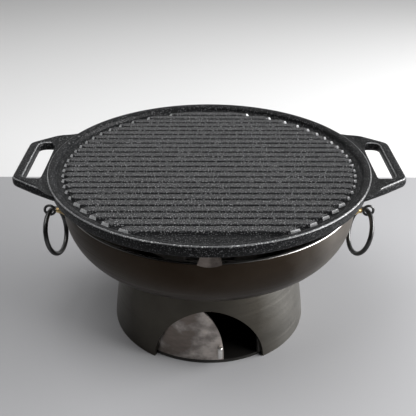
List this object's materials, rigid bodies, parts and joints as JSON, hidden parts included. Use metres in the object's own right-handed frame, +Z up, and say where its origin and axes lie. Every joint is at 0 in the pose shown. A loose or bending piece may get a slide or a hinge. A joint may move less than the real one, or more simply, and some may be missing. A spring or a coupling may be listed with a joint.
{
  "type": "charcoal grill",
  "caption": "Tabletop charcoal grill: ribbed cast plate with loop handles on a steel fire bowl, ring handles, and a flared pedestal with an arched vent and swinging damper door.",
  "frame": {"origin": "on the table, under the middle of the pedestal, at the bottom centre of the bounding box", "axes": "+Z up, -Y towards the air arch and the viewer, +X and -X along the handles of the plate"},
  "size_m": [0.425, 0.36, 0.203],
  "materials": {
    "seasoned_cast_iron": "seasoned black sand casting, finely speckled",
    "grate_iron": "burnt cast iron",
    "oiled_steel": "oiled dark steel with fine turning marks",
    "weld_steel": "heat-darkened weld",
    "bare_steel": "bare ground steel, mottled by heat",
    "bright_steel": "polished",
    "ring_steel": "dark drawn rod",
    "braze": "raw brazing brass"
  },
  "bodies": {
    "stove": {"pedestal": "oiled_steel", "bowl_weld": "weld_steel", "fire_bowl": "oiled_steel", "plate_rest_front": "bare_steel", "plate_rest_back_left": "bare_steel", "plate_rest_back_right": "bare_steel", "floor_plate": "oiled_steel", "floor_tacks": "weld_steel", "door_stop": "oiled_steel", "pivot_pin": "bare_steel", "handle_eye_left": "ring_steel", "handle_eye_right": "ring_steel", "eye_braze_left": "braze", "eye_braze_right": "braze"},
    "plate": {"grill_plate": "seasoned_cast_iron"},
    "grate": {"charcoal_grate": "grate_iron"},
    "door": {"damper_door": "bare_steel", "damper_arm": "bare_steel", "pull_pin": "bright_steel", "pull_nut": "bright_steel"},
    "ring_left": {"ring_handle_left": "ring_steel"},
    "ring_right": {"ring_handle_right": "ring_steel"}
  },
  "joints": [
    {"name": "plate_lift", "type": "slide", "parent": "stove", "child": "plate", "axis": [0, 0, 1], "range_m": [0, 0.06]},
    {"name": "grate_lift", "type": "slide", "parent": "stove", "child": "grate", "axis": [0, 0, 1], "range_m": [0, 0.05]},
    {"name": "damper_swing", "type": "hinge", "parent": "stove", "child": "door", "pos_m": [0, 0, 0.0058], "axis": [0, 0, 1], "range_deg": [-34, 20.5]},
    {"name": "ring_left_swing", "type": "hinge", "parent": "stove", "child": "ring_left", "pos_m": [-0.187, 0, 0.1345], "axis": [0.1908, 0.9816, 0], "range_deg": [-35, 125]},
    {"name": "ring_right_swing", "type": "hinge", "parent": "stove", "child": "ring_right", "pos_m": [0.187, 0, 0.1345], "axis": [0.1908, -0.9816, 0], "range_deg": [-29, 131]}
  ]
}
